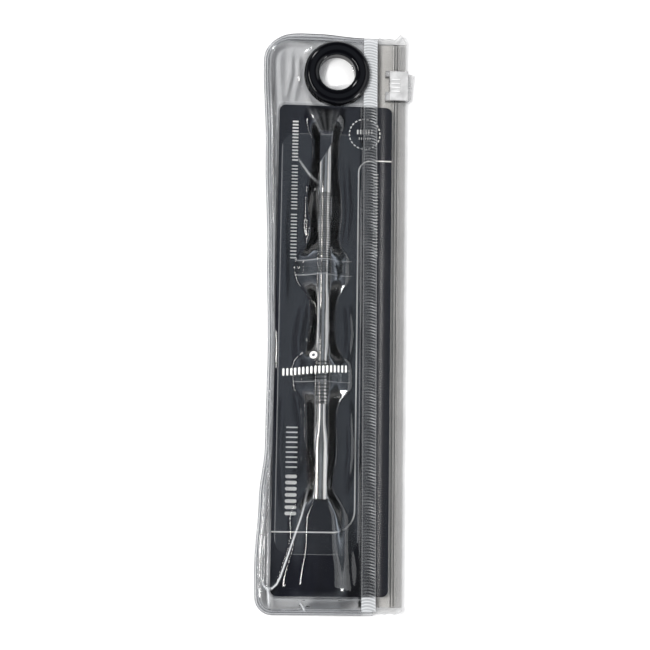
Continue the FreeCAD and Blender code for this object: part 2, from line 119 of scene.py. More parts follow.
back = node(sky, "Background", Color=choice.outputs[0], Strength=1.0)
node(sky, "OutputWorld", Surface=back.outputs[0])
print("bands in the ceiling:", len(CEILING_BANDS))


# %% [markdown]
# ## Lamps
#
# Each lamp is placed where a mirror at the object would show it to the camera, and no bigger than its highlight. A
# point lamp would leave no shape in the steel, so they are all flat panels.

# %% Lamps
def lamp(name, at, size, radiance, tint=(1, 1, 1)):
    """An area lamp at a place in millimetres, its long side along Y, turned about Y to face the object.
    Its power is radiance * pi * area, so that radiance is how bright it looks in a mirror."""
    data = bpy.data.lights.new(name, "AREA")
    data.shape, data.size, data.size_y, data.color = "RECTANGLE", size[0], size[1], tint
    data.energy = radiance * np.pi * size[0] * size[1]
    made = bpy.data.objects.new(name, data)
    bpy.context.scene.collection.objects.link(made)
    made.location = Vector(at) * MM
    made.rotation_euler = (0, np.arctan2(at[0], at[2]), 0)
    return made


lamp("left_strip", (-520, -30, 640), (0.055, 0.50), 13.0, (1.0, 0.985, 0.965))
lamp("left_key", (-420, -60, 620), (0.26, 0.40), 12.5, (1.0, 0.995, 0.985)).visible_glossy = False
lamp("left_far", (-350, 590, 590), (0.13, 0.18), 14.0)
lamp("right_soft", (640, 60, 520), (0.42, 1.0), 1.0, (0.96, 0.98, 1.0))
lamp("right_low", (760, -540, 256), (0.26, 0.26), 11.0)
bpy.context.scene.view_settings.view_transform = "Standard"

# %% [markdown]
# ## Making surfaces
#
# Nearly every piece is a surface: a sheet, a turned bar, a band. They could be pushed into shape by hand in the
# viewport, but then no size could be changed later. A surface is a rule that gives a point for each pair of numbers
# (u, v), so we work out a whole grid of points at once with numpy, join neighbours into four-sided faces, and keep
# (u, v) as the piece's own UV map for patterns that follow it.


# %% Grid helpers
def grid_faces(nu, nv, wrap_u=False, wrap_v=False):
    """Corners of every face between rows u and columns v, counter-clockwise when u runs right and v runs up."""
    i = np.arange(nu if wrap_u else nu - 1)[:, None]
    j = np.arange(nv if wrap_v else nv - 1)[None, :]
    k, m = (i + 1) % nu, (j + 1) % nv
    return np.stack(np.broadcast_arrays(i * nv + j, k * nv + j, k * nv + m, i * nv + m), -1).reshape(-1, 4)


def mesh_piece(name, points, faces, uv=None, sharp=35.0, merge=True, **marks):
    """A mesh object from points in millimetres. Same-place points are merged, which closes seams and poles.
    Marks are numbers per point, by name, that a material reads: the milky mark is milky and also carries painted
    highlights, and edge is a painted dark shade line."""
    points = np.asarray(points, float).reshape(-1, 3)
    used, faces = np.unique(faces, return_inverse=True)
    faces = faces.reshape(-1, 4)
    mesh = bpy.data.meshes.new(name)
    mesh.from_pydata((points[used] * MM).tolist(), [], faces.tolist())
    if uv is not None:
        layer = mesh.uv_layers.new(name="along")
        layer.data.foreach_set("uv", uv.reshape(-1, 2)[used][faces.ravel()].astype(np.float32).ravel())
    for mark, values in marks.items():
        layer = mesh.attributes.new(mark, "FLOAT", "POINT")
        layer.data.foreach_set("value", np.asarray(values, np.float32).ravel()[used])
    if merge:
        work = bmesh.new()
        work.from_mesh(mesh)
        bmesh.ops.remove_doubles(work, verts=work.verts, dist=2e-7)
        bmesh.ops.dissolve_degenerate(work, edges=work.edges, dist=1e-8)
        work.to_mesh(mesh)
        work.free()
    mesh.polygons.foreach_set("use_smooth", np.ones(len(mesh.polygons), bool))
    mesh.set_sharp_from_angle(angle=np.radians(sharp))
    piece = bpy.data.objects.new(name, mesh)
    bpy.context.scene.collection.objects.link(piece)
    return piece


def uv_of(nu, nv):
    """(u, v) of a grid, each from 0 to 1."""
    u, v = np.meshgrid(np.linspace(0, 1, nu), np.linspace(0, 1, nv), indexing="ij")
    return np.stack([u, v], -1)


def face_outwards(piece):
    """Recalculates a closed shape's normals so that they all point out."""
    work = bmesh.new()
    work.from_mesh(piece.data)
    bmesh.ops.recalc_face_normals(work, faces=work.faces)
    work.to_mesh(piece.data)
    work.free()
    return piece


print("a 3 by 3 grid has", len(grid_faces(3, 3)), "faces")


# %% [markdown]
# ## Turned and flat pieces
#
# Two kinds of piece come back again and again. What is made on a lathe or in a round mould is a profile carried round
# an axis. What is cut from sheet is two grids of points, one for each side, joined round their edges. Both are
# closed, so they are right from every side.

# %% Turned and flat pieces
def turned(name, radius, along, centre, axis, count=96, **marks):
    """A lathe shape: each profile point (radius, along) goes round the axis, radius * cos and sin of the angle.
    Marks are numbers per profile point."""
    a = np.linspace(0, 2 * np.pi, count, endpoint=False)[None, :]
    r, s = np.asarray(radius, float)[:, None], np.asarray(along, float)[:, None] + 0 * a
    flat = {"Z": (r * np.cos(a), r * np.sin(a), s), "Y": (r * np.sin(a), s, r * np.cos(a))}[axis]
    points = np.stack(flat, -1) + np.array(centre, float)
    marks = {mark: np.asarray(values)[:, None] + 0 * s for mark, values in marks.items()}
    faces = grid_faces(len(radius), count, wrap_v=True)
    return mesh_piece(name, points, faces, uv_of(len(radius), count), **marks)


def slab(name, top, bottom, sharp=35.0, **marks):
    """A closed plate between two grids of the same size: the top, the bottom turned over, and the four edges."""
    nu, nv = top.shape[:2]
    loop = np.concatenate([top, bottom[::-1]], 0)
    faces = grid_faces(2 * nu, nv, wrap_u=True)
    i = np.arange(nu - 1)[:, None]
    near = np.concatenate([(i + 1) * nv, i * nv, (2 * nu - 1 - i) * nv, (2 * nu - 2 - i) * nv], 1)
    far = near[:, ::-1] + nv - 1
    uv = np.concatenate([uv_of(nu, nv), uv_of(nu, nv)[::-1]], 0)
    both = {mark: np.concatenate([values, values[::-1]], 0) for mark, values in marks.items()}
    return mesh_piece(name, loop, np.concatenate([faces, near, far]), uv, sharp, **both)


print("turned and flat pieces can be made")


# %% [markdown]
# ## Soft steps and bells
#
# Soft plastic has no sudden steps. Three curves are enough for all of its forms: a smooth step, a curve that eases
# through given values, and a bell. Splines would do too, but these are easy to read in a formula.

# %% Soft steps and bells
def ease(t):
    """Smooth step: 0 below 0, 1 above 1, level at both ends."""
    t = np.clip(t, 0, 1)
    return t * t * (3 - 2 * t)


def eased_through(x, places, values):
    """A curve through given values that is level at each one and eases between them."""
    places, values = np.asarray(places, float), np.asarray(values, float)
    i = np.clip(np.searchsorted(places, x) - 1, 0, len(places) - 2)
    t = ease((x - places[i]) / (places[i + 1] - places[i]))
    return values[i] + (values[i + 1] - values[i]) * t


def bump(t, width):
    """A bell: 1 at t = 0, falling as exp(-(t / width) squared)."""
    return np.exp(-(t / width) ** 2)


print("ease(0.5) =", ease(0.5), " bump(1, 1) =", round(float(bump(1, 1)), 3))

# %% [markdown]
# ## Clear plastics
#
# Thin clear plastic is light that goes straight through, plus a weak mirror. How strong the mirror is depends on the
# angle, which the Fresnel node gives. Refraction through a film this thin only shifts the picture by a hair, so a
# Transparent shader does its job and renders cleanly. A faint milky part is added, because soft film is never
# perfectly clear.


# %% Clear plastics
def new_material(name):
    """An empty material and its node tree."""
    made = bpy.data.materials.new(name)
    made.use_nodes = True
    made.node_tree.nodes.clear()
    return made, made.node_tree


def clear_plastic(name, through, milk, rough, ripple, ripple_size, glow=(0.80, 0.82, 0.84, 1), ior=1.5):
    """Transparent and a Fresnel mirror, with a little milky body. Ripples are soft noise in the surface. The milky mark
    adds milkiness and painted highlights, and the mark edge mixes the see-through colour towards a dark grey, as
    painted shade lines."""
    made, tree = new_material(name)
    place = node(tree, "TexCoord").outputs["Object"]
    waves = node(tree, "TexNoise", Vector=place, Scale=ripple_size, Detail=3.0, Roughness=0.45)
    fine = node(tree, "TexNoise", Vector=place, Scale=ripple_size * 9, Detail=2.0)
    both = node(tree, "Math", operation="MULTIPLY_ADD")
    tree.links.new(fine.outputs["Fac"], both.inputs[0])
    both.inputs[1].default_value = 0.06
    tree.links.new(waves.outputs["Fac"], both.inputs[2])
    bumped = node(tree, "Bump", Height=both.outputs[0], Strength=1.0, Distance=ripple)
    edge = node(tree, "Fresnel", IOR=ior, Normal=bumped.outputs[0])
    mirror = node(tree, "BsdfGlossy", Color=(1, 1, 1, 1), Roughness=rough, Normal=bumped.outputs[0])
    # The edge mark mixes the see-through colour towards dark grey: painted shade lines.
    painted_shade_line = node(tree, "Attribute", attribute_name="edge")
    tint = node(tree, "MixRGB", Fac=painted_shade_line.outputs["Fac"], Color1=through, Color2=(0.30, 0.31, 0.34, 1))
    clear = node(tree, "BsdfTransparent", Color=tint.outputs[0])
    body = node(tree, "BsdfPrincipled", Base_Color=glow, Roughness=0.35)
    cloud = node(tree, "MapRange", Value=waves.outputs["Fac"], From_Min=0.3, From_Max=0.7,
                 To_Min=milk * 0.6, To_Max=milk * 1.4)
    pale = node(tree, "Math", operation="ADD", use_clamp=True)
    tree.links.new(cloud.outputs[0], pale.inputs[0])
    # The milky mark adds milky body: real milkiness, and painted highlights where creases, cut edges and ribs would
    # catch a lamp.
    tree.links.new(node(tree, "Attribute", attribute_name="haze").outputs["Fac"], pale.inputs[1])
    solid = node(tree, "MixShader", Fac=pale.outputs[0])
    tree.links.new(clear.outputs[0], solid.inputs[1])
    tree.links.new(body.outputs[0], solid.inputs[2])
    whole = node(tree, "MixShader", Fac=edge.outputs[0])
    tree.links.new(solid.outputs[0], whole.inputs[1])
    tree.links.new(mirror.outputs[0], whole.inputs[2])
    node(tree, "OutputMaterial", Surface=whole.outputs[0])
    return made


film_look = clear_plastic("clear_film", (0.985, 0.986, 0.988, 1), 0.003, 0.05, 0.00016, 60.0)
sheet_look = clear_plastic("clear_sheet", (0.992, 0.993, 0.995, 1), 0.002, 0.05, 0.00005, 40.0)
tape_look = clear_plastic("zip_tape", (0.966, 0.963, 0.958, 1), 0.003, 0.20, 0.00006, 140.0, ior=1.4)
slider_look = clear_plastic("slider_plastic", (0.984, 0.982, 0.980, 1), 0.26, 0.12, 0.00005, 300.0,
                            glow=(0.96, 0.96, 0.96, 1))
print("clear plastics made")

# %% [markdown]
# ## Steel, black plastic, card and ink
#
# Steel that was turned on a lathe carries very fine rings round the bar. They stretch every highlight along the bar.
# The noise is squeezed along the bar, so that it makes rings, and it drives a tiny bump. A second noise varies the
# roughness as handling does. The other finishes are plain, but none is quite even: black moulded plastic, printed
# card, white ink and the table share one recipe, a fine noise that moves the tone, the roughness and a slight bump.


# %% Steel, black plastic, card and ink
def steel(name):
    """Metal whose tone and bump follow rings round Y, with painted shade where the mark groove is set, at the bottoms
    of the grooves.
    """
    made, tree = new_material(name)
    place = node(tree, "TexCoord").outputs["Object"]
    rings = node(tree, "Mapping", Vector=place, Scale=(60, 9000, 60))
    marks = node(tree, "TexNoise", Vector=rings.outputs[0], Scale=1.0, Detail=4.0, Roughness=0.6)
    wear = node(tree, "TexNoise", Vector=place, Scale=260.0, Detail=5.0)
    rough = node(tree, "MapRange", Value=wear.outputs["Fac"], To_Min=0.18, To_Max=0.27)
    tone = node(tree, "ValToRGB", Fac=marks.outputs["Fac"])
    tone.color_ramp.elements[0].color = (0.80, 0.775, 0.74, 1)
    tone.color_ramp.elements[1].color = (0.97, 0.945, 0.905, 1)
    bumped = node(tree, "Bump", Height=marks.outputs["Fac"], Strength=0.25, Distance=0.00003)
    # Painted shade: where the groove mark is set, the tone is mixed towards dark.
    shade_and_highlight_weight = node(tree, "Attribute", attribute_name="groove")
    tone = node(tree, "MixRGB", Fac=shade_and_highlight_weight.outputs["Fac"], Color1=tone.outputs[0], Color2=(0.10, 0.095, 0.09, 1))
    look = node(tree, "BsdfPrincipled", Base_Color=tone.outputs[0], Metallic=1.0,
                Roughness=rough.outputs[0], Normal=bumped.outputs[0])
    node(tree, "OutputMaterial", Surface=look.outputs[0])
    return made


def solid_plastic(name, colour, rough, grain, grain_depth, spread=0.06, level=0.5):
    """An opaque finish: noise of size grain moves the tone by a fifth and the roughness by spread."""
    made, tree = new_material(name)
    place = node(tree, "TexCoord").outputs["Object"]
    noise = node(tree, "TexNoise", Vector=place, Scale=grain, Detail=4.0, Roughness=0.6)
    rub = node(tree, "MapRange", Value=noise.outputs["Fac"], To_Min=rough - spread, To_Max=rough + spread)
    bumped = node(tree, "Bump", Height=noise.outputs["Fac"], Strength=0.3, Distance=grain_depth)
    tone = node(tree, "ValToRGB", Fac=noise.outputs["Fac"])
    tone.color_ramp.elements[0].color = (*[c * 0.8 for c in colour], 1)
    tone.color_ramp.elements[1].color = (*[c * 1.2 for c in colour], 1)
    look = node(tree, "BsdfPrincipled", Base_Color=tone.outputs[0], Roughness=rub.outputs[0],
                Normal=bumped.outputs[0])
    look.inputs["Specular IOR Level"].default_value = level
    node(tree, "OutputMaterial", Surface=look.outputs[0])
    return made


steel_look = steel("steel")
black_look = solid_plastic("black_plastic", (0.002, 0.002, 0.003), 0.12, 900.0, 0.00001, 0.04, 0.4)
card_look = solid_plastic("printed_card", (0.0042, 0.0048, 0.0120), 0.42, 2500.0, 0.00002, 0.06, 0.25)
ink_look = solid_plastic("white_ink", (0.88, 0.88, 0.86), 0.5, 3000.0, 0.00001)
thin_ink_look = solid_plastic("thin_white_ink", (0.84, 0.85, 0.84), 0.5, 3000.0, 0.00001)
floor_look = solid_plastic("table", (0.86, 0.86, 0.86), 0.7, 60.0, 0.0001, 0.05, 0.1)
print("opaque materials made")


def dress(piece, look, slot, body, *nodes):
    """Gives a piece its material, and joins it to the CAD body and nodes it stands for. Slot is not used."""
    piece.data.materials.clear()
    piece.data.materials.append(look)
    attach(piece, body)
    if nodes:
        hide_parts(*nodes)
    return piece


# %% [markdown]
# ## Table
#
# The pouch lies on a plain pale table. One large square would be enough, but a small grid takes part in the same
# helpers as everything else. It isn't part of the object.

# %% Table top
TABLE_LEVEL = -0.06
floor_grid = np.stack([*np.meshgrid(np.linspace(-900, 900, 3), np.linspace(-1000, 800, 3), indexing="ij"),
                       np.full((3, 3), TABLE_LEVEL)], -1)
table_top = mesh_piece("table_top", floor_grid, grid_faces(3, 3))
table_top.data.materials.append(floor_look)
print("table at z =", TABLE_LEVEL, "mm")

# %% [markdown]
# ## Where things are
#
# Positions could be typed in, but then the looks would drift away from the model as soon as a size changed. So they
# are read from the boxes of the CAD nodes, and only the soft film adds slack of its own.

# %% Measured places, millimetres
FILM, RIDGE_ON_TAPE = 0.25, 0.4


def box_mm(name):
    """Lowest and highest corner of a CAD node, in millimetres."""
    low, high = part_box(name)
    return np.array(low) / MM, np.array(high) / MM


handle_low, handle_high = box_mm("pusher_handle")
card_low, card_high = box_mm("insert_card")
sheet_low, sheet_high = box_mm("holder_sheet")
spoon_end = box_mm("pusher_spoon_tip")[0][1]
pusher_x, pusher_z = (handle_low[0] + handle_high[0]) / 2, (handle_low[2] + handle_high[2]) / 2
handle_r = (handle_high[0] - handle_low[0]) / 2
rim_top, ridge_top = 1.40, box_mm("front_film")[1][2]
level_top = box_mm("zip_front_tape")[1][2] - RIDGE_ON_TAPE + FILM
ring_high = box_mm("eyelet_front")[1]
ring_r, bore_r = ring_high[0], 6.7
print("pusher axis", round(pusher_x, 2), round(pusher_z, 2), "film levels", rim_top, round(level_top, 2),
      round(ridge_top, 2))

# %% [markdown]
# ## Outline of the pouch
#
# The pouch is cut from film that was welded round its rim, with two round corners on the left. A drawn curve could
# carry the outline, but the sheet, its weld beads and its haze all need the distance from the rim at any point. So
# the outline is a rule for x at each y, and the distance is worked out from the same numbers. The left side wanders
# by a millimetre or two, as soft film does.

# %% Outline
TOP_Y, LOW_Y = 14.3, -197.9
TOP_RADIUS, LOW_RADIUS = 9.5, 6.0
SIDE_Y = [-198, -180, -158, -138, -104, -71, -30, 4, 15]
SIDE_X = [-26.4, -26.8, -25.7, -23.9, -23.6, -24.5, -25.9, -27.3, -27.0]


def left_side(y):
    """X of the pouch's left edge before its corners are rounded."""
    return eased_through(y, SIDE_Y, SIDE_X)


def strip_left(y):
    """X where the zip's welded strip begins: a line that leans 1.2 mm in 180."""
    return 10.0 - 1.2 * y / 180.0


def inset_at(x, y):
    """Distance in from the rim: the least of the way to the left side, the top, the bottom or a corner's arc."""
    left = left_side(y)
    d = np.minimum(np.minimum(x - left, TOP_Y - y), y - LOW_Y)
    for radius, cy, way in ((TOP_RADIUS, TOP_Y - TOP_RADIUS, 1), (LOW_RADIUS, LOW_Y + LOW_RADIUS, -1)):
        cx = left + radius
        corner = (x < cx) & ((y - cy) * way > 0)
        d = np.where(corner, radius - np.hypot(x - cx, y - cy), d)
    return d


def outline_left(y):
    """X of the left edge, corners rounded: the side moved in by radius - sqrt(radius^2 - reach^2)."""
    reach_top = np.clip(y - (TOP_Y - TOP_RADIUS), 0, TOP_RADIUS)
    reach_low = np.clip((LOW_Y + LOW_RADIUS) - y, 0, LOW_RADIUS)
    return (left_side(y) + TOP_RADIUS - np.sqrt(TOP_RADIUS ** 2 - reach_top ** 2)
            + LOW_RADIUS - np.sqrt(LOW_RADIUS ** 2 - reach_low ** 2))


print("outline height", round(TOP_Y - LOW_Y, 1), "left side from", min(SIDE_X), "to", max(SIDE_X))

# %% [markdown]
# ## The tent over the pusher
#
# The pusher holds the front film up like a tent. Between its two tips the film is drawn tight, with nearly straight
# sides. Past the tips it hangs loose in a soft hump, which is long enough for the pusher to slide in. A cloth
# simulation could find such a shape, but this film is stiff. A section that changes along the pusher gives the same
# tent each time, and is sure to clear the steel.

# %% Tent
STRAPS = [(box_mm(n)[0][1] + box_mm(n)[1][1]) / 2 for n in ("strap_upper", "strap_lower")]
TENT_Y = [-187.6, -165, -153, -24.0, -13.2, 15]
FOOT_HALF, TOP_HALF = 5.6, 2.3
HUMP_END = -187.0


def tent(x, y):
    """Height over the pusher. Across, it is full to the top's half width, then falls as (1 - s)^1.35 to the foot,
    turning to a half cosine where the film hangs loose. The foot is wider at the bands and past the tips."""
    strap = np.clip(sum(bump(np.maximum(np.abs(y - s) - 3.0, 0), 5.0) for s in STRAPS), 0, 1)
    loose_low, loose_high = ease((-152 - y) / 12), ease((y + 27) / 5)
    foot = FOOT_HALF + 0.7 * np.sin(y / 11.0) + 0.5 * np.sin(y / 4.7 + x / 9) + 4.8 * strap
    foot = foot + loose_low * (6.2 + 2.4 * ease((-172 - y) / 12)) + loose_high * 4.2 * ease((y + 27) / 13)
    top = TOP_HALF + 0.5 * loose_low - 1.5 * loose_high * ease((y + 23.5) / 6)
    full = ridge_top - level_top - 0.02
    crest = np.interp(y, TENT_Y, [3.7, 4.7, full, full, 0, 0])
    reach = np.hypot(np.maximum(np.abs(x - pusher_x) - top, 0), 1.1 * np.maximum(HUMP_END - y, 0))
    s = np.clip(reach / (foot - top), 0, 1)
    tight = (1 - s) ** 1.35 * (1 + 0.35 * s * (1 - s))
    loose = loose_low + loose_high
    return crest * (tight * (1 - loose) + (0.5 + 0.5 * np.cos(np.pi * s)) * loose)


print("tent height over the handle", round(ridge_top - level_top, 2), "bands at", np.round(STRAPS, 1).tolist())

# %% [markdown]
# ## Creases, and the film's whole height
#
# Soft film that has been folded keeps thin sharp creases and broad lazy waves. They could be a bump in the material,
# but bump doesn't bend the outline or catch light from the side. Here each crease is a bent line with a height and a
# width, and the film rises over it as a bell. The whole height is the flat rim with its two weld beads, the step up
# over the card, the dip at the eyelet, the tent, the waves and the creases.

# %% Height of the film
CARD_CORNER = 2.5
CREASES = [  # points of the line, height, width
    ([(-8.0, -152), (-10.6, -163), (-14.4, -175), (-17.7, -184.9), (-18.9, -187.2), (-20.6, -188.7),
      (-22.2, -188.8), (-23.5, -187.6), (-24.0, -186.0)], 0.34, 0.42),
    ([(-21.9, -188.6), (-21.4, -195)], 0.35, 0.5),
    ([(-19.0, 7), (-18.8, 0), (-20.4, -8)], 0.55, 1.1),
    ([(-16.2, 6), (-15.8, -1), (-17.8, -10.5)], 0.65, 0.8),
    ([(-10.8, -13.2), (-5.6, -25)], 0.14, 0.9),
    ([(1.8, -13.2), (-2.6, -25)], 0.12, 0.9),
    ([(-14.0, -33), (-7.0, -43)], 0.16, 0.3),
    ([(-10.4, -84), (-12.8, -100), (-11.6, -118)], 0.50, 1.6),
    ([(-17.6, -118), (-18.8, -140), (-17.2, -160)], 0.36, 1.3),
    ([(-13.2, -120), (-10.7, -134), (-12.6, -150)], 0.52, 1.1),
    ([(-17.9, -30), (-18.8, -60), (-17.6, -92)], 0.42, 1.6),
    ([(-9.4, -44), (-10.2, -58), (-9.0, -68)], 0.42, 1.0),
    ([(3.6, -30), (4.8, -52), (3.4, -70)], 0.44, 1.3),
    ([(4.9, -86), (5.9, -98), (4.9, -108)], 0.50, 1.3),
    ([(5.9, -122), (6.6, -140), (5.2, -154)], 0.46, 1.2),
    ([(5.4, -157), (7.2, -172), (8.6, -190)], 0.30, 1.4),
    ([(-13.6, -72.8), (-13.9, -74.6)], 0.5, 0.9),
    ([(-16.0, -196.0), (-9.0, -195.4)], 0.5, 0.6),
    ([(-10.5, -193.4), (-8.6, -196.6)], 0.5, 0.5),
]


def way_to_line(x, y, points):
    """Distance from each place to a bent line, and how far along the line the nearest point is, 0 to 1."""
    best = np.full(x.shape, 1e9)
    share = np.zeros(x.shape)
    for k, ((x0, y0), (x1, y1)) in enumerate(zip(points[:-1], points[1:])):
        t = np.clip(((x - x0) * (x1 - x0) + (y - y0) * (y1 - y0)) / ((x1 - x0) ** 2 + (y1 - y0) ** 2), 0, 1)
        d = np.hypot(x - x0 - t * (x1 - x0), y - y0 - t * (y1 - y0))
        share = np.where(d < best, (k + t) / (len(points) - 1), share)
        best = np.minimum(d, best)
    return best, share


def along_crease(share):
    """A crease is full in its middle and dies out at its ends, as the root of sin(pi * share)."""
    return np.sin(np.pi * np.clip(share, 0.02, 0.98)) ** 0.5


def way_to_card(x, y):
    """Distance outside the card's rounded outline, negative inside it."""
    half, middle, r = (card_high - card_low) / 2, (card_high + card_low) / 2, CARD_CORNER
    qx, qy = np.abs(x - middle[0]) - half[0] + r, np.abs(y - middle[1]) - half[1] + r
    return np.hypot(np.maximum(qx, 0), np.maximum(qy, 0)) + np.minimum(np.maximum(qx, qy), 0) - r


def film_height(x, y):
    """Outer face of the front film: rim and weld beads, step up, dip at the eyelet, tent, slack and creases."""
    d = inset_at(x, y)
    from_eyelet = np.hypot(x, y)
    z = rim_top + (level_top - rim_top) * ease((d - 1.3) / 0.8)
    z = rim_top + (z - rim_top) * ease((from_eyelet - 8.8) / 3.4)
    z = z + tent(x, y)
    inside = ease((d - 2.0) / 2.0) * ease((strip_left(y) - x) / 1.5) * ease((from_eyelet - 12.5) / 4)
    slack = (0.15 * (1 + np.sin(x / 2.3 + 1.2 * np.sin(y / 31)))
             + 0.035 * (1 + np.sin(x / 0.95 + 2.0 * np.sin(y / 23) + 1))
             + 0.20 * (1 + np.sin(y / 13 + x / 7)))
    z = z + inside * slack + 0.22 * bump(way_to_card(x, y) - 0.9, 0.3) * ease((d - 1.5) / 1.0)
    for line, tall, wide in CREASES:
        way, share = way_to_line(x, y, line)
        z = z + tall * along_crease(share) * bump(way, wide) * ease(d / 2)
    bead = 0.16 * bump(d - 0.45, 0.2) + 0.22 * bump(d - 1.25, 0.2)
    return z + bead * ease((strip_left(y) - x) / 1.0)


print("creases:", len(CREASES))

# %% [markdown]
# ## Milky and dark lines
#
# Clear film turns milky where it was welded or bent hard, and its cut edge looks dark, because light that enters it
# there doesn't come straight back out. The film also gets painted highlights where its sharp creases and its step over
# the card would catch a lamp, and painted shade as thin dark lines on the cut edge, between the weld's beads, at the
# foot of the step and beside the card. All of these could be painted in an image. Here they are numbers kept at the
# film's points, worked out from the same distances as its height, so they always lie on the right bead or crease.

# %% Haze, painted highlights and painted shade lines
FAN = ((0.10, -0.42, 0.05), (0.07, -0.30, 0.04), (0.05, -0.12, 0.05), (0.06, 0.10, 0.07), (0.04, 0.25, 0.05))


def film_haze(x, y):
    """Milkiness on the weld's beads and the rim; painted highlights as bells on the step over the card and on the sharp
    creases, where the fold's own whitening is only part of it; and a fan of faint pale rays (strength, slant, width)
    that spreads from the blade's tip towards the eyelet."""
    d = inset_at(x, y)
    beads = 0.10 * bump(d - 0.45, 0.25) + 0.20 * bump(d - 1.25, 0.2) + 0.08 * bump(d - 2.2, 0.25)
    # Painted highlight on the step where the film bends over the card's edge.
    pale = beads + 0.10 * bump(way_to_card(x, y) - 0.9, 0.22) * ease(d - 1.5)
    # Painted highlight along the sharp creases, over the whitening of the fold itself.
    for line, tall, wide in CREASES:
        way, share = way_to_line(x, y, line)
        pale = pale + min(0.85, 2.4 * tall) * along_crease(share) * bump(way, 0.24) * (wide < 0.6)
    slant = (x + 3.4) / np.maximum(y + 30, 1)
    fan = sum(strength * bump(slant - middle, width) for strength, middle, width in FAN)
    return pale + fan * ease((y + 28) / 5) * ease((-12.6 - y) / 5)


def film_painted_shade(x, y):
    """Painted shade as dark lines: bells on the cut edge, the valley between the weld's beads, the foot of the step and
    beside the card.
    """
    d = inset_at(x, y)
    near_card = bump(way_to_card(x, y) - 0.35, 0.16) * ease(d - 1.5)
    return 0.75 * bump(d, 0.14) + 0.45 * bump(d - 0.9, 0.14) + 0.35 * bump(d - 1.75, 0.15) + 0.30 * near_card


print("rays in the fan:", len(FAN))

# %% [markdown]
# ## Front film
#
# The front film is one sheet with a hole for the eyelet. It could be a flat plate that is cut and then bent, but
# cutting leaves ragged faces round the hole. So a grid follows the outline, the few faces in the middle of the
# eyelet are left out, and the grid is pushed outwards from there into a round hole. A Solidify modifier gives the sheet
# its thickness inwards.

# %% Front film sheet
FILM_SKIN, HOLE_R, HOLE_REACH = 0.2, 7.75, 12.0
RIM_BAND = 5.0


def film_grid(right, nu, nv):
    """Plan of the film. Rows and columns are closer in the first 5 mm from the rim, and even after that."""
    ends = nv // 12
    y = np.concatenate([np.linspace(LOW_Y, LOW_Y + RIM_BAND, ends + 1)[:-1],
                        np.linspace(LOW_Y + RIM_BAND, TOP_Y - RIM_BAND, nv - 2 * ends),
                        np.linspace(TOP_Y - RIM_BAND, TOP_Y, ends + 1)[1:]])
    near = nu // 4
    share = np.concatenate([np.linspace(0, 0.16, near + 1)[:-1], np.linspace(0.16, 1, nu - near)])[:, None]
    left = outline_left(y)
    return left + (right(y) - left) * share, np.broadcast_to(y, (nu, nv))


def lift_rim(x, y):
    """The top rim is not quite straight: past y = 12.4 it is drawn up by as much as 1 mm towards the left."""
    return y + 1.0 * np.clip((y - 12.4) / 1.9, 0, 1) * ease((9 - x) / 16) * ease((x + 25) / 12)


def open_hole(x, y, radius, reach):
    """Moves points outwards from the origin, r to radius + r * (reach - radius) / reach, to open a round hole."""
    r = np.maximum(np.hypot(x, y), 1e-6)
    moved = np.where(r < reach, radius + r * (reach - radius) / reach, r)
    return x * moved / r, y * moved / r


def film_sheet(name, height, right, nu, nv, upward):
    """A film as a grid with a round hole, thickened inwards. Faces round the hole's centre are left out."""
    x, y = film_grid(right, nu, nv)
    centre = np.hypot((x[:-1, :-1] + x[1:, 1:]) / 2, (y[:-1, :-1] + y[1:, 1:]) / 2)
    x, y = open_hole(x, y, HOLE_R, HOLE_REACH)
    points = np.stack([x, lift_rim(x, y), height(x, y)], -1)
    faces = grid_faces(nu, nv)[(centre > 0.5).ravel()]
    if not upward:
        faces = faces[:, ::-1]
    piece = mesh_piece(name, points, faces, uv_of(nu, nv), haze=film_haze(x, y), edge=film_painted_shade(x, y))
    skin = piece.modifiers.new("thickness", "SOLIDIFY")
    skin.thickness, skin.offset, skin.use_even_offset = FILM_SKIN * MM, -1.0, False
    print(name, "faces", len(piece.data.polygons))
    return piece


front = film_sheet("front_film_sheet", film_height, strip_left, 110, 440, True)
dress(front, film_look, "clear_film", "pouch", "front_film")

# %% [markdown]
# ## Back film
#
# The back is the same film, with a flat rim and a shallow tray that the card lies in. A flat plate would do from the
# front, but from behind and from the side the tray's soft edge is what shows it is film. It uses the same grid and
# hole as the front, with its faces turned down.

# %% Back film
BACK_RIM, TRAY_DEPTH, STRIP_END = 0.9, 0.86, 15.4


def back_height(x, y):
    """Outer face of the back film: a flat rim and a shallow tray with a soft floor."""
    d = np.minimum(inset_at(x, y), strip_left(y) - x)
    tray = ease((d - 1.4) / 3.2) * ease((np.hypot(x, y) - 12.6) / 3.0)
    return BACK_RIM - TRAY_DEPTH * tray + 0.03 * tray * np.sin(x / 3 + 2 * np.sin(y / 19))


def back_right(y):
    """The back film runs on under the zip's tape, as far as the welded strip does."""
    return STRIP_END + 0 * y


back_sheet = film_sheet("back_film_sheet", back_height, back_right, 84, 360, False)
dress(back_sheet, film_look, "clear_film", "pouch", "back_film")

# %% [markdown]
# ## Welded strip
#
# The film is welded to the zip's tape by a hot wheel that leaves a close row of curved teeth. They could be a bump
# pattern, but they are deep enough to catch the lamps one by one, so each tooth is a small ridge across the strip,
# bowed in its middle. The teeth carry a little milkiness with a painted highlight on their crests, and over the card
# the valleys get painted shade. Over the pale table the whole strip is painted milky and its shade weakened, which
# stands for the light coming up through it from the table.

# %% Serrated weld
TOOTH, TOOTH_HEIGHT, STRIP_WIDTH, STRIP_DEPTH = 1.08, 0.15, 5.1, 0.2


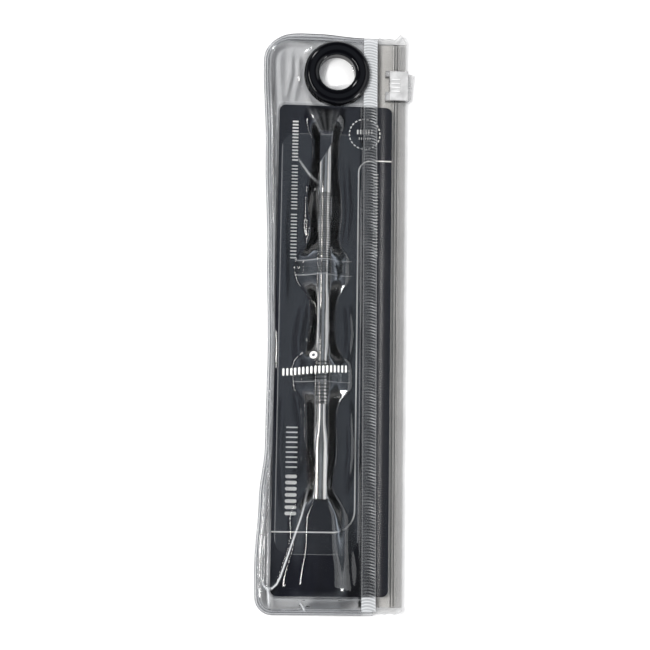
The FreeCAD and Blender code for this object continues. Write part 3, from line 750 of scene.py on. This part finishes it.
def weld_strip():
    """Height is the tape's level plus a tooth: sin of (y + bow) * 2 pi / pitch, sharpened, inside two edge lines."""
    rows = np.linspace(LOW_Y + 1.5, TOP_Y - 1.0, 2200)
    share = np.linspace(0, 1, 17)[:, None]
    x = strip_left(rows) + share * (STRIP_WIDTH + 0 * rows)
    y = np.broadcast_to(rows, x.shape)
    bow = 1.1 * (share - 0.35) ** 2 * 2.2 - 0.25 * share
    wander = 0.25 * np.sin(rows / 9.0)
    wave = np.sin((y + bow + wander) * 2 * np.pi / TOOTH)
    rise, fall = 0.5 + 0.5 * wave, 0.5 - 0.5 * wave
    inner = ease(share / 0.12) * ease((1 - share) / 0.12)
    tooth = (TOOTH_HEIGHT + 0.04 * np.sin(rows / 17.0)) * inner * rise ** 1.6
    line = 0.10 * (bump(share - 0.03, 0.05) + bump(share - 0.97, 0.05))
    z = level_top + 0.02 + tooth + line
    ring_edge = ring_r + 0.05
    x = np.where(np.hypot(x, y) < ring_edge, np.sqrt(np.maximum(ring_edge ** 2 - y ** 2, 0)), x)
    shade_and_highlight_weight = 0.6 + 0.4 * np.sin(rows / 5.3 + 2 * np.sin(rows / 17)) * np.sin(rows / 2.1 + share * 4)
    # Painted highlight on the tooth crests, stronger to the right, over a little milkiness of the weld; the two edges
    # get pale lines.
    pale = (0.10 + 0.30 * ease((share - 0.45) / 0.3)) * shade_and_highlight_weight * inner * rise ** 4
    pale = pale + 0.02 * inner + 0.22 * (bump(share - 0.02, 0.035) + bump(share - 0.98, 0.035))
    # Painted shade in the valleys between the teeth, and a dark line near the left edge.
    dark = 0.55 * ease((share - 0.15) / 0.4) * inner * fall ** 4 + 0.3 * bump(share - 0.12, 0.03)
    # Over the pale table the strip is painted milky and its painted shade weakened, standing for the light that comes
    # up from the table.
    over_card = ease(card_high[1] + 0.5 - rows) * ease(rows - card_low[1] + 0.5)
    pale = pale * over_card + (0.38 + 0.34 * rise ** 2) * (1 - over_card)
    dark = dark * (0.4 + 0.6 * over_card)
    under = np.stack([x, y, np.full(x.shape, level_top - STRIP_DEPTH)], -1)
    return slab("weld_strip", np.stack([x, y, z], -1), under, 60, haze=pale, edge=dark)


dress(weld_strip(), film_look, "clear_film", "pouch")
print("teeth in the weld:", round((TOP_Y - LOW_Y - 2.5) / TOOTH))

# %% [markdown]
# ## Eyelet
#
# The eyelet is a fat black ring moulded in one with its barrel, and a washer that snaps on behind. A ring could be a
# ready torus, but its top is an arch that is higher on the bore's side, and its underside is hollow. So it is turned
# from a profile, like a part on a lathe. The washer is only seen from behind and keeps its CAD shape, with its edges
# eased.

# %% Eyelet ring
BORE_RISE, RIM_RISE = 3.4, 2.62


def eyelet_profile():
    """(radius, height) up the bore, over the arch, down the rim, under the hollow ring and down the barrel. The arch
    is middle - half * cos a across and sin(a)^0.9 up, from a side that falls from the bore's rise to the rim's."""
    a = np.linspace(0, np.pi, 40)
    middle, half = (bore_r + ring_r) / 2, (ring_r - bore_r) / 2
    side = RIM_RISE + (BORE_RISE - RIM_RISE) * (1 + np.cos(a)) / 2
    arch = np.stack([middle - half * np.cos(a), side + (ring_high[2] - side) * np.sin(a) ** 0.9], -1)
    under = [(ring_r, 2.42), (ring_r - 0.25, 2.3), (ring_r - 0.8, 2.32), (8.8, 3.3), (8.8, 1.4), (7.6, 1.4),
             (7.6, 0.1), (7.45, 0.0)]
    start = (bore_r + 0.15, 0.0)
    return np.concatenate([[start, (bore_r, 0.15)], arch, under, [start]]).T


ring_piece = face_outwards(turned("eyelet_front_ring", *eyelet_profile(), (0, 0, 0), "Z", 144))
dress(ring_piece, black_look, "black_plastic", "pouch", "eyelet_front")
print("eyelet radius", round(ring_r, 2), "bore radius", bore_r, "crest", round(ring_high[2], 2))

# %% [markdown]
# ## Copies of CAD pieces
#
# A CAD mesh is loose triangles, which shade as flat patches. Where the CAD shape is already right, a copy is taken,
# its corners are joined, flat patches are merged, and a small bevel eases its edges as a mould would.

# %% Joined copy, and the eyelet's washer
def merged_copy(node_name, name, bevel=0.0, sharp=30.0):
    """A CAD node's mesh with its loose corners joined and its edges eased, so that it shades smoothly."""
    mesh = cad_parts[node_name].data.copy()
    work = bmesh.new()
    work.from_mesh(mesh)
    bmesh.ops.remove_doubles(work, verts=work.verts, dist=1e-6)
    bmesh.ops.dissolve_limit(work, angle_limit=np.radians(1.0), verts=work.verts, edges=work.edges)
    work.to_mesh(mesh)
    work.free()
    mesh.polygons.foreach_set("use_smooth", np.ones(len(mesh.polygons), bool))
    mesh.set_sharp_from_angle(angle=np.radians(sharp))
    mesh.materials.clear()
    piece = bpy.data.objects.new(name, mesh)
    bpy.context.scene.collection.objects.link(piece)
    if bevel:
        round_over = piece.modifiers.new("eased_edges", "BEVEL")
        round_over.width, round_over.segments, round_over.limit_method = bevel * MM, 3, "ANGLE"
        round_over.angle_limit = np.radians(40)
        round_over.harden_normals = False
    print(name, "faces", len(mesh.polygons), "bevel", bevel)
    return piece


dress(merged_copy("eyelet_back", "eyelet_back_ring", 0.1), black_look, "black_plastic", "pouch", "eyelet_back")

# %% [markdown]
# ## Zip and slider
#
# The tapes are extruded, so one section runs their whole length and the CAD shape is already right. The slider is
# moulded, so its edges are eased, which is what catches the light on small mouldings. Its raised ribs look whiter than
# the rest, so a painted highlight grows with height on the front shell, on top of the plastic's own milkiness.

# %% Zip and slider
for cad_name, name, look, slot_name, body, ease_by in (
        ("zip_front_tape", "zip_front_strip", tape_look, "zip_tape", "pouch", 0.0),
        ("zip_back_tape", "zip_back_strip", tape_look, "zip_tape", "pouch", 0.0),
        ("slider_front_shell", "slider_front", slider_look, "slider_plastic", "slider", 0.12),
        ("slider_back_shell", "slider_back", slider_look, "slider_plastic", "slider", 0.12)):
    dress(merged_copy(cad_name, name, ease_by), look, slot_name, body, cad_name)


def highlight_above(name, low, high, amount):
    """Painted highlight on a moulded piece's raised parts, kept in its milky mark: amount times an even rise from
    height low to height high.
    """
    mesh = bpy.data.objects[name].data
    place = np.zeros(len(mesh.vertices) * 3, np.float32)
    mesh.vertices.foreach_get("co", place)
    layer = mesh.attributes.new("haze", "FLOAT", "POINT")
    layer.data.foreach_set("value", (amount * ease((place[2::3] / MM - low) / (high - low))).astype(np.float32))


# Painted highlight on the front shell's raised ribs.
highlight_above("slider_front", 3.05, 3.6, 0.45)

# %% [markdown]
# ## Pressed ends of the zip
#
# At both ends the two tapes are crushed between hot jaws, so that the slider can't run off. That leaves a flat,
# rippled tongue with two pressed rows, and a small torn horn at the top. A plain block would look like a stopper
# that was put on, so each end is a thin plate whose edge and height are worked out point by point.

# %% Pressed ends
END_RIGHT, HORN_X, PRESSED_LEVEL = 25.9, 23.9, 2.25
TOP_STOP, LOW_STOP = 11.95, -194.95


def crushed_end(name, near_y, far_y, horn):
    """A pressed end of the zip: a strip from near_y to far_y whose far edge rises to a small horn, and whose
    thickness is squeezed in two rows. Height is a mean level plus ripples that grow towards the far edge."""
    u, v = np.linspace(0, 1, 61)[:, None], np.linspace(0, 1, 21)[None, :]
    way = np.sign(far_y - near_y)
    x = STRIP_END + (END_RIGHT - STRIP_END) * u + 0 * v
    at_horn = bump((x - HORN_X) / 1.1, 1)
    end = far_y + way * (horn * at_horn + 0.18 * np.sin(x * 1.7) - 0.25)
    corner = np.clip((x - 24.6) / 1.3, 0, 1) ** 2 * 1.2
    y = near_y + (end - way * corner - near_y) * v
    ripple = 0.16 * np.sin(x * 2.1 + 3 * v) * v + 0.12 * np.sin(x * 5.0 - 2 * v) * v
    squeeze = 0.25 * (bump(v - 0.35, 0.08) + bump(v - 0.75, 0.08))
    z = PRESSED_LEVEL - squeeze + ripple + 0.3 * horn * at_horn * v
    pale = (0.10 + 0.22 * (bump(v - 1, 0.08) + bump(v, 0.06))
            + 0.12 * (bump(v - 0.35, 0.05) + bump(v - 0.75, 0.05)) + 0 * x)
    top, under = np.stack([x, y, z], -1), np.stack([x, y, 1.0 + 0.4 * ripple], -1)
    if far_y < near_y:
        top, under, pale = top[:, ::-1], under[:, ::-1], pale[:, ::-1]
    return slab(name, top, under, 50, haze=pale)


dress(crushed_end("zip_top_end", TOP_STOP, 14.3, 1.7), tape_look, "zip_tape", "pouch", "zip_end_weld_top")
dress(crushed_end("zip_bottom_end", LOW_STOP, -197.4, 0.0), tape_look, "zip_tape", "pouch", "zip_end_weld_bottom")
print("slider stops at y", LOW_STOP, "and", TOP_STOP)

# %% [markdown]
# ## Strokes of ink
#
# Print could be an image on the card, but an image blurs up close. Here every line is a ribbon: a path, a width and
# a rule for the height that it lies at, made into a closed plate a few hundredths of a millimetre thick. The same
# ribbons work on the flat card and on the wavy film.

# %% Ribbons
INK_Z, INK_THICK = card_high[2] + 0.02, 0.02


def ribbon(path, width, height_at):
    """Two rows of points, half a width to each side of a path; ends can narrow if width is an array."""
    path = np.asarray(path, float)
    step = np.gradient(path, axis=0)
    side = np.stack([-step[:, 1], step[:, 0]], -1) / np.maximum(np.hypot(*step.T), 1e-9)[:, None]
    half = np.broadcast_to(np.asarray(width, float) / 2, len(path))[:, None]
    rows = np.stack([path - side * half, path + side * half])
    return np.concatenate([rows, height_at(rows[..., 0], rows[..., 1])[..., None]], -1)


def bar(x0, y0, x1, y1, width):
    """A straight ribbon path with round ends: its width follows a half circle at each end."""
    length = np.hypot(x1 - x0, y1 - y0)
    round_end = 0.5 * width / length * (1 - np.cos(np.linspace(0, np.pi / 2, 6)))
    t = np.unique(np.concatenate([np.linspace(0, 1, 9), round_end, 1 - round_end]))
    end = np.minimum(t, 1 - t) * length
    r = width / 2
    wide = 2 * np.sqrt(np.maximum(r * r - np.maximum(r - end, 0) ** 2, (0.02 * r) ** 2))
    return np.stack([x0 + (x1 - x0) * t, y0 + (y1 - y0) * t], -1), wide


def arc(cx, cy, r, a0, a1, count=14):
    """Points of an arc: centre plus radius times the cosine and sine of angles from a0 to a1 degrees."""
    a = np.radians(np.linspace(a0, a1, count))
    return np.stack([cx + r * np.cos(a), cy + r * np.sin(a)], -1)


def rungs(x, low, high, tall, thick, pitch, groups=1, gap=2.2):
    """Short cross strokes in a row up the card, in equal groups with a gap between, like the marks on a rule."""
    each = (high - low - gap * (groups - 1)) / groups
    starts = low + np.arange(groups) * (each + gap)
    places = np.concatenate([np.linspace(a, a + each, max(2, round(each / pitch) + 1)) for a in starts])
    return [bar(x - tall / 2, p, x + tall / 2, p, thick) for p in places]


def ink_piece(name, strokes, height_at, look, slot_name, body):
    """Joins many ribbons into one printed piece. Each ribbon is a closed thin plate."""
    points, faces, base = [], [], 0
    for path, width in strokes:
        top = ribbon(path, width, height_at)
        under = top - np.array([0, 0, INK_THICK])
        n = top.shape[1]
        quads = grid_faces(4, n, wrap_u=True)
        ends = np.array([[0, 3 * n, 2 * n, n], [n - 1, 2 * n - 1, 3 * n - 1, 4 * n - 1]])
        points.append(np.concatenate([top[::-1], under], 0).reshape(-1, 3))
        faces.append(np.concatenate([quads[:, ::-1], ends[:, ::-1]]) + base)
        base += 4 * n
    piece = face_outwards(mesh_piece(name, np.concatenate(points), np.concatenate(faces), merge=False))
    print(name, "strokes", len(strokes))
    return dress(piece, look, slot_name, body)


# %% [markdown]
# ## Card and its print
#
# The card is a flat board with round corners, printed nearly black, so its CAD shape is kept with its edges eased.
# Rows of short plain strokes stand where words would be, a dashed ring stands for the round badge, and one thin rule
# runs down the right side and turns across the bottom.

# %% Card
BADGE_X, BADGE_Y, BADGE_R = 10.6, -22.8, 5.7
BOLD_ROWS = ((-15.1, -33.4, -18.8, 2.3, 0.62, 1.2), (-14.4, -162.4, -149.3, 4.2, 1.25, 2.2))
THIN_ROWS = ((-15.1, -70.0, -35.6, 2.3, 0.5, 1.2, 2), (14.9, -68.4, -38.0, 1.9, 0.36, 1.2),
             (-14.4, -146.0, -131.8, 4.2, 0.5, 1.75))


def on_card(x, y):
    """The card's print lies level, just above the board."""
    return np.full(x.shape, INK_Z)


dress(merged_copy("insert_card", "card_board", 0.06), card_look, "printed_card", "insert", "insert_card")
left_edge, right_edge = card_low[0] + 0.1, card_high[0] - 0.1
rule = np.concatenate([[(right_edge, -32.9)], arc(13.04, -37.4, 4.5, 90, 180), arc(0.84, -161.2, 7.7, 0, -90, 20),
                       [(left_edge, -168.9)]])
bold_strokes = [stroke for row in BOLD_ROWS for stroke in rungs(*row)]
bold_strokes += [bar(BADGE_X + o, BADGE_Y - 0.1, BADGE_X + o, BADGE_Y + 1.7, 0.6)
                 for o in (-2.6, -1.5, -0.5, 0.5, 1.5, 2.6)]
word_strokes = [stroke for row in THIN_ROWS for stroke in rungs(*row)]
word_strokes += [(arc(BADGE_X, BADGE_Y, BADGE_R, a, a + 9, 4), 0.45) for a in range(0, 360, 15)]
word_strokes += [bar(BADGE_X + o, BADGE_Y - 2.2, BADGE_X + o, BADGE_Y - 1.2, 0.3)
                 for o in (-2, -1.2, -0.4, 0.4, 1.2, 2)]
ink_piece("card_bold_bars", bold_strokes, on_card, ink_look, "printed_card", "insert")
ink_piece("card_word_bars", word_strokes, on_card, thin_ink_look, "printed_card", "insert")
ink_piece("card_rules", [(rule, 0.5)], on_card, ink_look, "printed_card", "insert")

# %% [markdown]
# ## Print on the film
#
# The front film has a printed mark of its own, a little crooked, which stays still when the card moves. A row of
# plain strokes and a small ring stand for it. The ribbons take their height from the film, so they follow the tent.

# %% Mark on the film: a row of strokes under a small ring
MARK_X, MARK_Y, MARK_TALL, MARK_TURN = -6.7, -111.3, 2.7, 3.7


def on_film(x, y):
    """Print on the film lies a little above the film's own height."""
    return film_height(x, y) + 0.03


tilt = np.tan(np.radians(MARK_TURN))
mark = []
for x0 in np.linspace(-17.9, 4.6, 17):
    middle = MARK_Y + tilt * (x0 - MARK_X)
    mark.append(bar(x0, middle - MARK_TALL / 2, x0, middle + MARK_TALL / 2, 0.75))
mark += [(arc(-7.4, -106.0, 0.95, 0, 360, 25), 0.8)]
ink_piece("film_mark", mark, on_film, ink_look, "clear_film", "pouch")

# %% [markdown]
# ## Holder sheet
#
# A stiff clear sheet with round corners lies on the card. By itself it is nearly invisible: only its cut edge shows, as
# a thin pale line, which is a painted highlight. A copy of the CAD plate would have no points near the edge to carry
# that line, so the sheet is a grid whose rows crowd towards both ends.

# %% Sheet
SHEET_CORNER = 5.5


def rounded_plan(low, high, radius, nu, nv):
    """A rectangle's grid with its corners drawn in along arcs, rows squeezed near the two ends."""
    v = (1 - np.cos(np.linspace(0, np.pi, nv))) / 2
    y = low[1] + (high[1] - low[1]) * v
    end = np.minimum(y - low[1], high[1] - y)
    inward = radius - np.sqrt(np.maximum(radius ** 2 - np.maximum(radius - end, 0) ** 2, 0))
    u = np.linspace(0, 1, nu)[:, None]
    x = low[0] + inward + (high[0] - low[0] - 2 * inward) * u
    return x, np.broadcast_to(y, x.shape)


def holder():
    """A flat plate on the rounded plan, with a bell of painted highlight on its cut edge, kept as milkiness."""
    x, y = rounded_plan(sheet_low, sheet_high, SHEET_CORNER, 60, 240)
    edge = np.minimum(np.minimum(x - sheet_low[0], sheet_high[0] - x),
                      np.minimum(y - sheet_low[1], sheet_high[1] - y))
    top, under = (np.stack([x, y, np.full(x.shape, z)], -1) for z in (sheet_high[2], sheet_low[2]))
    # Painted highlight along the cut edge.
    return slab("holder_sheet_plate", top, under, haze=0.30 * bump(np.clip(edge, 0, None), 0.10))


dress(holder(), sheet_look, "clear_sheet", "insert", "holder_sheet")
print("sheet size", np.round(sheet_high - sheet_low, 2).tolist())

# %% [markdown]
# ## Bands over the handle
#
# Two narrow bands of the same clear stock arch over the handle and hold it on the sheet. A band could be bent with a
# modifier, but its section is simple to write down: level feet, straight sides that touch the round bar, and an arc
# over it. The cut edges are slightly raised, and they catch the light as thin bright lines, with a painted highlight
# along them as well.

# %% Bands
BAND_CLEARANCE, BAND_TOUCH, BAND_THICK, BAND_BEND = 0.22, 1.75, 0.12, 0.35


def strap_band(node_name, name, above):
    """A band over the handle: an arc over the bar as far as the touching point, then the tangent, which eases into
    the foot as foot + log(1 + exp((line - foot) / bend)) * bend. Above is how much taller it is than in the CAD."""
    low, high = box_mm(node_name)
    high[1] = high[1] + above
    x = np.linspace(-1, 1, 121)[:, None] * (high[0] - low[0]) / 2
    v = np.linspace(0, 1, 13)[None, :]
    r = handle_r + BAND_CLEARANCE
    rise = np.sqrt(r * r - BAND_TOUCH ** 2)
    on_arc = pusher_z + np.sqrt(np.maximum(r * r - x * x, 0))
    foot = low[2] + BAND_THICK
    line = pusher_z + rise - BAND_TOUCH / rise * np.clip((np.abs(x) - BAND_TOUCH), 0, None)
    side = foot + np.logaddexp(0, (line - foot) / BAND_BEND) * BAND_BEND
    z = np.where(np.abs(x) < BAND_TOUCH, on_arc, side)
    # Bells on the two cut edges: they raise the edge a little and carry a painted highlight.
    rims = bump(v, 0.05) + bump(v - 1, 0.05)
    x, y, z, rims = np.broadcast_arrays(x + pusher_x, low[1] + (high[1] - low[1]) * v, z, rims)
    top, under = np.stack([x, y, z + 0.05 * rims], -1), np.stack([x, y, z - BAND_THICK], -1)
    band = slab(name, top, under, 50, haze=0.42 * rims)
    print(name, "from y", round(low[1], 1), "to", round(high[1], 1))
    return dress(band, sheet_look, "clear_sheet", "insert", node_name)


strap_band("strap_upper", "upper_band", 1.2)
strap_band("strap_lower", "lower_band", 0.0)

# %% [markdown]
# ## Handle
#
# The handle is a steel tube with two grooved grips. The grooves could be drawn as dark lines, but what one sees on the
# real bar is its highlight broken into a row of dots. So the grooves are real: each is a smooth valley in the lathe
# profile, with painted shade at its bottom.

# %% Handle
UPPER_GRIP, LOWER_GRIP, UPPER_PITCH, LOWER_PITCH, GROOVE = 30.2, 15.8, 0.85, 1.2, 0.22
TUBE_BORE_R, MOUTH_DROP = 1.6, 0.2


def handle_profile():
    """Radius along the bar: full, less a valley of depth GROOVE at each groove of the two grips."""
    top, low = handle_high[1], handle_low[1]
    y = np.unique(np.concatenate([np.linspace(top, top - UPPER_GRIP, 35 * 8 + 1),
                                  np.linspace(top - UPPER_GRIP, low + LOWER_GRIP, 24),
                                  np.linspace(low + LOWER_GRIP, low, 13 * 10 + 1)]))[::-1]
    r = np.full(y.shape, handle_r)
    for start, length, pitch in ((top, UPPER_GRIP, UPPER_PITCH), (low + LOWER_GRIP, LOWER_GRIP, LOWER_PITCH)):
        t = (start - y) / pitch
        inside = (t > 0) & (t < int(length / pitch))
        valley = ease(1.6 - 3.2 * np.abs((t % 1) - 0.5) / 0.62)
        r = np.where(inside, handle_r - GROOVE * valley, r)
    return r - MOUTH_DROP * ease(1 - (y - low) / 0.35), y


r, y = handle_profile()
r = np.concatenate([[TUBE_BORE_R], r, [TUBE_BORE_R], [TUBE_BORE_R]])
y = np.concatenate([[y[0]], y, [y[-1]], [y[0]]])
# Painted shade: the groove mark is highest at each valley's bottom, where the steel's tone is mixed towards dark.
groove = 0.6 * ease((handle_r - r) / GROOVE) * (r > handle_r - 0.3)
tube = turned("handle_tube", r, y, (pusher_x, 0, pusher_z), "Y", 72, groove=groove)
dress(face_outwards(tube), steel_look, "steel", "pusher", "pusher_handle")
print("handle length", round(handle_high[1] - handle_low[1], 1), "radius", round(handle_r, 2))

# %% [markdown]
# ## Blade tip
#
# The upper tip is a flat blade ground to a skew edge. Its faces are plain cuts, which CAD gives exactly, so the blade
# is a joined copy with a fine bevel, as polishing leaves.

# %% Blade tip
dress(merged_copy("pusher_blade_tip", "blade", 0.05, 35), steel_look, "steel", "pusher", "pusher_blade_tip")

# %% [markdown]
# ## Spoon
#
# The lower tip is a rod that was hammered flat into an arched spoon with a straight end. It could be sculpted from a
# box, but every section of it is nearly an ellipse, so it is a row of sections whose width, thickness and arch change
# along the tip, with the shank behind them that goes into the tube.

# %% Spoon
NECK_WIDE, SPOON_WIDE, SPOON_THICK, ARCH, ARCH_HALF = 3.6, 6.6, 0.9, 1.3, 3.3
END_HALF, END_CORNER = 1.4, 2.9
SHANK_R, SHANK_LENGTH, ROUND = 1.58, 12.0, 72


def spoon():
    """Closed sections that go from a circle to an arched strip; each is width * cos a across and thickness * sin a
    up, plus the arch times (1/2 - (across / half width)^2). Width ends in two round corners."""
    start = handle_low[1]
    length = start - spoon_end
    share = np.unique(np.concatenate([np.linspace(0, 0.6, 50), np.linspace(0.6, 0.975, 20),
                                      np.linspace(0.975, 1, 12)]))[:, None]
    flat = eased_through(share, [0, 0.14, 0.56, 0.80, 1.0], [0, 0.0, 0.93, 1.0, 1.0])
    away = (1 - share) * length
    corner = END_HALF + np.sqrt(np.maximum(END_CORNER ** 2 - np.maximum(END_CORNER - away, 0) ** 2, 0))
    width = np.minimum((NECK_WIDE + (SPOON_WIDE - NECK_WIDE) * flat) / 2, corner)
    thick = (NECK_WIDE + (SPOON_THICK - NECK_WIDE) * flat) / 2 * ease(0.35 + away / 0.5)
    a = np.linspace(0, 2 * np.pi, ROUND, endpoint=False)[None, :]
    across = width * np.cos(a)
    up = thick * np.sin(a) + ARCH * flat * (0.5 - (across / ARCH_HALF) ** 2)
    rings = np.stack([pusher_x + across, start - share * length + 0 * a, pusher_z + up], -1)
    circle_x, circle_z = pusher_x + SHANK_R * np.cos(a), pusher_z + SHANK_R * np.sin(a)
    shank, neck = (np.stack([circle_x, start + past + 0 * a, circle_z], -1) for past in (SHANK_LENGTH, 0.01))
    shut = np.broadcast_to([pusher_x, start + SHANK_LENGTH, pusher_z], shank.shape)
    seam = rings[-1:].copy()
    seam[..., 2] = pusher_z + ARCH * (0.5 - ((seam[..., 0] - pusher_x) / ARCH_HALF) ** 2)
    stack = np.concatenate([shut, shank, neck, rings, seam], 0)
    return mesh_piece("spoon", stack, grid_faces(len(stack), ROUND, wrap_v=True), uv_of(len(stack), ROUND), 40)


dress(face_outwards(spoon()), steel_look, "steel", "pusher", "pusher_spoon_tip")
print("spoon ends at y", round(spoon_end, 1))
